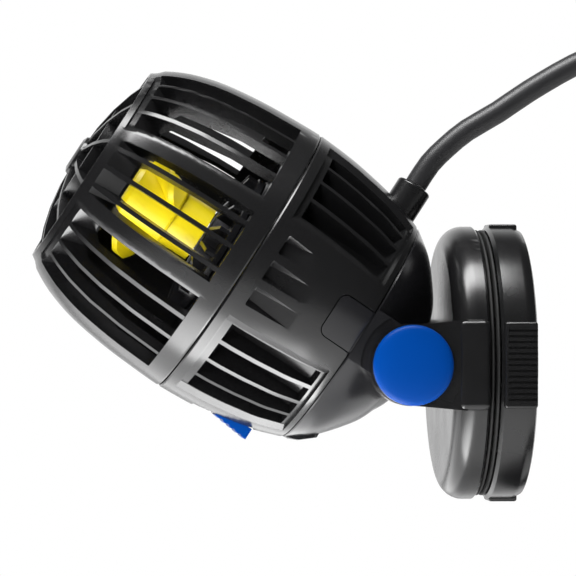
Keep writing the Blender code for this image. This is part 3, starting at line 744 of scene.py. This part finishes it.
def make_gland():
    """Collar that the lead leaves through."""
    profile = [(0, 45.5), (4.3, 45.5), (4.8, 45.3), (5.15, 44.8), (5.15, 28.0), (4.6, 26.9),
               (0, 26.9)]
    gland = revolve(profile, 64)
    matrix = PUMP @ Matrix.Translation((0, 0, z_of(GLAND_U) * MM)) @ TO_X
    finish_piece(gland, "cable_gland_fine", "pump", "black_shell", "cable_gland", matrix=matrix)


def make_latch():
    """Release slide with thumb grooves, and the spring in front of it."""
    front, rear = LATCH_U
    bm = bmesh.new()

    def corner(x, y, z):
        outer = -42.0 if z < 0 else -40.8
        return Vector((outer if x < 0 else -38.5, 6.0 * y, z_of(rear) if z < 0 else z_of(front)))
    hexahedron(bm, corner)
    latch = closed(bm)
    for i in range(4):
        combine(latch, box((-44.0 + 0.3 * i, -7, z_of(77.4 - 2.2 * i)),
                           (-41.55 + 0.25 * i, 7, z_of(76.5 - 2.2 * i))))
    finish_piece(latch, "release_latch_fine", "latch", "blue_plastic", "release_latch", bevel=0.3,
                 segments=3)
    make_spring()


def make_spring():
    """The coil between the latch and the cage."""
    foot, top = (z_of(u) for u in SPRING_U)
    radius, turns, steps = 0.9, 4, 64
    line = []
    for i in range(steps + 1):
        angle = 2 * pi * turns * i / steps
        line.append(Vector((SPRING_X + radius * cos(angle), radius * sin(angle),
                            foot + (top - foot) * i / steps)))
    spring = finish_piece(sweep(line, 0.25, sides=8), "latch_spring_fine", None, "steel",
                          "latch_spring")
    spring.modifiers.clear()
    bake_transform(spring)


# ---------------------------------------------------------------- propeller and motor

BLADES = 3
BLADE_ROOT = 8.6
BLADE_REACH = 9.0
BLADE_HALF = 9.6
BLADE_U = 20.0
FLANGE_RIBS = 18


def make_propeller():
    """Hub with twisted blades whose tips are rounded."""
    hub = revolve([(3.0, z_of(12.0)), (7.6, z_of(12.0)), (9.2, z_of(12.5)), (10.0, z_of(13.8)),
                   (10.0, z_of(27.0)), (9.6, z_of(27.6)), (8.2, z_of(28.0)), (8.2, z_of(37.0)),
                   (1.9, z_of(37.0)), (1.9, z_of(12.0))], 96)
    for i in range(BLADES):
        bm = bmesh.new()
        bmesh.ops.create_grid(bm, x_segments=22, y_segments=22, size=1)
        for v in bm.verts:
            out, chord = (v.co.x + 1) / 2, v.co.y
            radius = BLADE_ROOT + BLADE_REACH * out
            half = BLADE_HALF * sqrt(max(0.12, 1 - 0.92 * out ** 2.6))
            pitch = radians(48 - 16 * out)
            swing = chord * half * cos(pitch)
            v.co = Vector((radius * cos(swing / 16), radius * sin(swing / 16),
                           z_of(BLADE_U) + chord * half * sin(pitch) * 0.82))
        turn(bm, bm.verts, 360 / BLADES * i + 64)
        blade = solid(bm)
        skin = blade.modifiers.new("skin", "SOLIDIFY")
        skin.thickness = 1.6
        skin.offset = 0
        remesh(blade)
        combine(hub, blade, "UNION")
    finish_piece(hub, "propeller_fine", "rotor", "yellow_plastic", "propeller", bevel=0.3)


def make_flange():
    """Front plate of the motor with radial cooling ribs."""
    plate = revolve([(22.6, z_of(42.4)), (22.6, z_of(44.2)), (12.2, z_of(44.2)),
                     (12.2, z_of(42.0))])
    bm = bmesh.new()
    for i in range(FLANGE_RIBS):
        made = hexahedron(bm, lambda x, y, z: Vector((17.4 + 4.6 * x, 0.55 * y,
                                                      z_of(37.4 + (2.0 if x > 0 else 0))
                                                      if z > 0 else z_of(43.0))))
        turn(bm, made, 360 / FLANGE_RIBS * i)
    combine(plate, solid(bm), "UNION")
    finish_piece(plate, "motor_flange_fine", "pump", "gloss_black", "motor_flange", bevel=0.2)


def make_can():
    """Sealed motor can, with the well that the rotor turns in."""
    profile = [(0, z_of(70.0)), (10.8, z_of(70.0)), (10.8, z_of(44.6)), (23.0, z_of(44.6)),
               (24.0, z_of(45.6)), (24.0, z_of(84.0)), (22.6, z_of(84.0)), (22.6, z_of(46.6)),
               (11.8, z_of(46.6)), (11.8, z_of(71.4)), (0, z_of(71.4))]
    finish_piece(revolve(profile, 128), "motor_can_fine", "pump", "gloss_black", "motor_can",
                 bevel=0.25)


# ---------------------------------------------------------------- magnet mount

COVER_R = 33.0
WET_EDGE = 6.4
BLOCK_Y = (34.0, 40.1)
GRIP_Y = (36.5, 40.0)
GRIP_GROOVES = 13
GRIP_PITCH = 1.6
GROOVE_HALF = 0.32


def arc_profile(cx, cz, radius, start, end, steps=10):
    """Points (radius, height) on a quarter round."""
    turns = [radians(start + (end - start) * i / steps) for i in range(steps + 1)]
    return [(cx + radius * cos(turned), cz + radius * sin(turned)) for turned in turns]


def make_wet_housing():
    """Round-edged disc, its two side blocks and the fork arms, in one moulding."""
    x0, x1 = WET_X
    pivot = (PIVOT_X, 0, 0)
    profile = [(0, x1 - 1.0), (COVER_R, x1 - 1.0), (COVER_R, x1), (DISC_R - 0.7, x1),
               (DISC_R, x1 - 0.7)]
    profile += arc_profile(DISC_R - WET_EDGE, x0 + WET_EDGE, WET_EDGE, 0, -90)
    profile += [(0, x0)]
    disc = revolve(profile[::-1], 200)
    disc.data.transform(TO_X)
    pocket_tool = revolve([(0, x1 + 2), (COVER_R, x1 + 2), (COVER_R, x1 - 7.2), (0, x1 - 7.2)], 96)
    pocket_tool.data.transform(TO_X)
    combine(disc, pocket_tool)
    for side in (-1, 1):
        low, high = sorted((side * BLOCK_Y[0], side * BLOCK_Y[1]))
        block = box((x0 + 0.6, low, -ARM_HALF), (x1 - 0.1, high, ARM_HALF), 1.8, 6)
        combine(disc, block, "UNION")
        low, high = sorted((side * ARM_Y[0], side * ARM_Y[1]))
        bm = bmesh.new()
        hexahedron(bm, lambda x, y, z: Vector((PIVOT_X if x < 0 else x0 + 3.0,
                                               low if y < 0 else high,
                                               z * (ARM_END_R if x < 0 else ARM_HALF))))
        arm = closed(bm)
        combine(arm, cross_cylinder(ARM_END_R, (low, high), 96, pivot), "UNION")
        combine(disc, arm, "UNION")
        combine(disc, cross_cylinder(BOLT_HOLE_R, (side * 30, side * 45), 32, pivot))
    combine(disc, box((x0 - 1, -33.0, -24.5), (x0 + 0.3, -31.9, -18.5)))
    finish_piece(disc, "wet_housing_fine", "root", "black_shell", "wet_housing", matrix=WORLD,
                 bevel=0.45, segments=3)


def make_dry_housing():
    """Dry-side disc with chamfered rims and two ribbed grips."""
    x0, x1 = DRY_X
    profile = [(0, x1), (DISC_R - 2.6, x1), (DISC_R - 1.2, x1 - 0.5), (DISC_R - 0.4, x1 - 2.0),
               (DISC_R, x1 - 3.4), (DISC_R, x0 + 0.9), (DISC_R - 0.9, x0), (COVER_R, x0),
               (COVER_R, x0 + 7.0), (0, x0 + 7.0)]
    disc = revolve(profile, 200)
    disc.data.transform(TO_X)
    for side in (-1, 1):
        low, high = sorted((side * GRIP_Y[0], side * GRIP_Y[1]))
        grip = box((x0 + 0.6, low, -12.0), (x1 - 0.5, high, 12.0), 0.8, 3)
        low, high = sorted((side * 39.3, side * 41))
        for i in range(GRIP_GROOVES):
            z = GRIP_PITCH * (i - GRIP_GROOVES // 2)
            combine(grip, box((x0 + 1.6, low, z - GROOVE_HALF), (x1 + 1, high, z + GROOVE_HALF)))
        combine(disc, grip, "UNION")
    for side in (-1, 1):
        low, high = sorted((side * 36.5, side * 39.6))
        bump = box((x0 + 0.9, -5.5, low), (x1 - 1.4, 5.5, high), 0.7, 3)
        combine(disc, bump, "UNION")
    finish_piece(disc, "dry_housing_fine", "dry_side", "black_shell", "dry_housing", matrix=WORLD,
                 bevel=0.3)


def make_pads():
    """Rubber facings on either side of the glass."""
    for name, body, low, high in (("wet_pad", "root", WET_X[1] + 0.3, -0.3),
                                  ("dry_pad", "dry_side", 0.3, DRY_X[0] - 0.3)):
        pad = revolve([(0, high), (DISC_R - 1.4, high), (DISC_R - 1.0, high - 0.3),
                       (DISC_R - 1.0, low + 0.3), (DISC_R - 1.4, low), (0, low)], AROUND)
        pad.data.transform(TO_X)
        finish_piece(pad, name + "_fine", body, "black_rubber", name, matrix=WORLD)


def make_pivots():
    """Shallow domed caps over the pivot bolts."""
    for side, name in ((-1, "near"), (1, "far")):
        cap = revolve([(0, 43.4), (3.0, 43.36), (5.8, 43.22), (8.2, 42.95), (9.8, 42.6),
                       (10.7, 42.15), (11.1, 41.6), (11.2, 41.0), (11.2, 39.8), (9.8, 39.8),
                       (9.8, 41.9), (0, 41.9)], 128)
        matrix = Matrix.Translation((PIVOT_X * MM, 0, 0)) @ Matrix.Rotation(-side * pi / 2, 4, "X")
        finish_piece(cap, "pivot_cap_%s_fine" % name, "root", "blue_plastic", "pivot_cap_" + name,
                     matrix=matrix)


# ---------------------------------------------------------------- plug and tie

COLLAR_GROOVES = 16
TIE_X = COIL_CENTRE[0] + 35
TIE_OUTER = 11.05
TIE_INNER = 10.05


def make_connector():
    """Round connector with a ribbed collar, lying on the coil."""
    before, last = end_arc()[-2:]
    heading = (last - before).normalized()
    start = last + heading * 0.3 + Vector((0, 0, 7.0 - CABLE_R + 0.2))
    body = revolve([(0, 40), (5.0, 40), (5.6, 39.4), (5.6, 24.4), (6.6, 23.6), (7.0, 23.0),
                    (7.0, 12.6), (6.6, 12.0), (5.0, 10.0), (4.2, 0.4), (3.9, 0), (0, 0)], 64)
    bm = bmesh.new()
    for i in range(COLLAR_GROOVES):
        made = hexahedron(bm, lambda x, y, z: Vector((7.0 + 0.5 * x, 0.45 * y, 17.8 + 4.0 * z)))
        turn(bm, made, 360 / COLLAR_GROOVES * i)
    combine(body, solid(bm))
    combine(body, revolve([(0, 41), (4.2, 41), (4.2, 34), (0, 34)], 48))
    tilt = Vector((0, 0, 1)).rotation_difference(heading).to_matrix().to_4x4()
    return finish_piece(body, "connector_fine", "root", "black_shell", "connector",
                        matrix=Matrix.Translation(start * MM) @ tilt, bevel=0.2)


def make_tie():
    """Soft tie over the coil's section."""
    tie = box((TIE_X - TIE_OUTER, -2.25, FLOOR_Z), (TIE_X + TIE_OUTER, 2.25, COIL_TOP + 1.3))
    combine(tie, box((TIE_X - TIE_INNER, -5, FLOOR_Z - 5), (TIE_X + TIE_INNER, 5, COIL_TOP + LIFT)))
    knot = box((TIE_X - 2.4, -1.8, COIL_TOP + 0.6), (TIE_X + 2.4, 1.8, COIL_TOP + 2.4), 0.6)
    combine(tie, knot, "UNION")
    return finish_piece(tie, "cable_tie_fine", "root", "black_rubber", "cable_tie", WORLD, 0.3)


def paint_carried_nodes():
    """CAD nodes that stay get their slot's procedural material."""
    for row in frame["record"]["subparts"]:
        node = bpy.data.objects.get(row["node"])
        if node is not None and not node.hide_render:
            node.data.materials.clear()
            node.data.materials.append(MATERIALS[row["material_slot"]])


MATERIALS = make_materials()
make_camera()
make_world()
make_stage()
make_lights()
connector, tie = make_connector(), make_tie()
make_cord()
for make in (make_front_cage, make_front_guard, make_shroud, make_rear_cage, make_rear_shell,
             make_gland, make_latch, make_propeller, make_flange, make_can, make_wet_housing,
             make_dry_housing, make_pads, make_pivots):
    make()
paint_carried_nodes()
